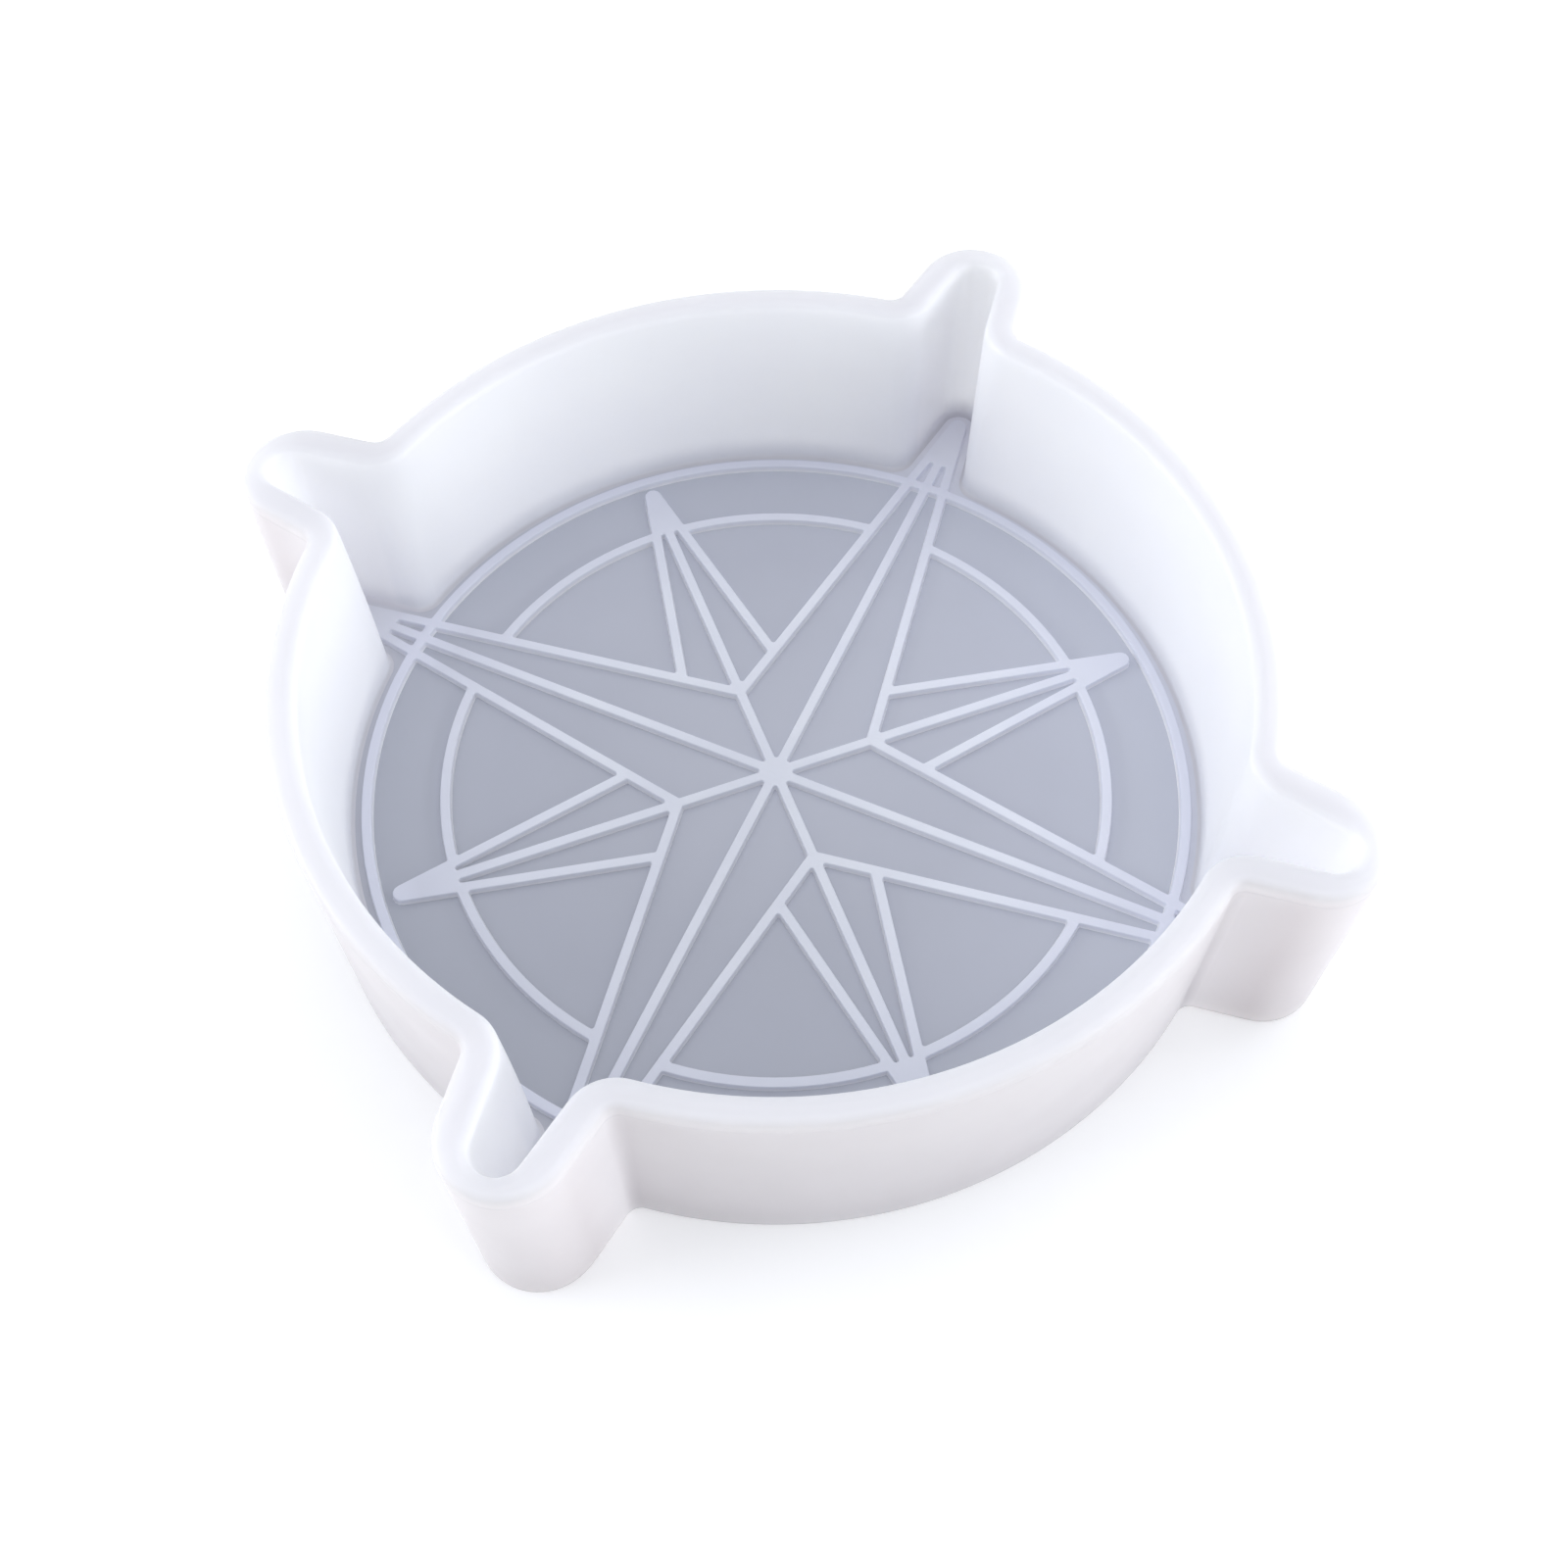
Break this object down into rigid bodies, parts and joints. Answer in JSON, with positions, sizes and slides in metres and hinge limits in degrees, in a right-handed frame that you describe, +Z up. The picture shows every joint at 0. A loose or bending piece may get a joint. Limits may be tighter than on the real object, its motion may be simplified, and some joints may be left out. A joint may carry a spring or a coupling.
{
  "type": "resin casting mould",
  "caption": "Deep round silicone casting mould with tapering pockets around its wall and a raised compass star and rings on its floor.",
  "frame": {"origin": "centre of the underside, on the surface that the mould stands on", "axes": "+Z up out of the open cavity; +X and +Y each along the middle of one pocket"},
  "size_m": [0.2, 0.2, 0.0446],
  "materials": {
    "floor": "polished translucent silicone",
    "wall": "satin translucent silicone",
    "relief": "frosted silicone"
  },
  "bodies": {
    "root": {"cavity_floor": "floor", "side_wall": "wall", "compass_relief": "relief"}
  },
  "joints": []
}
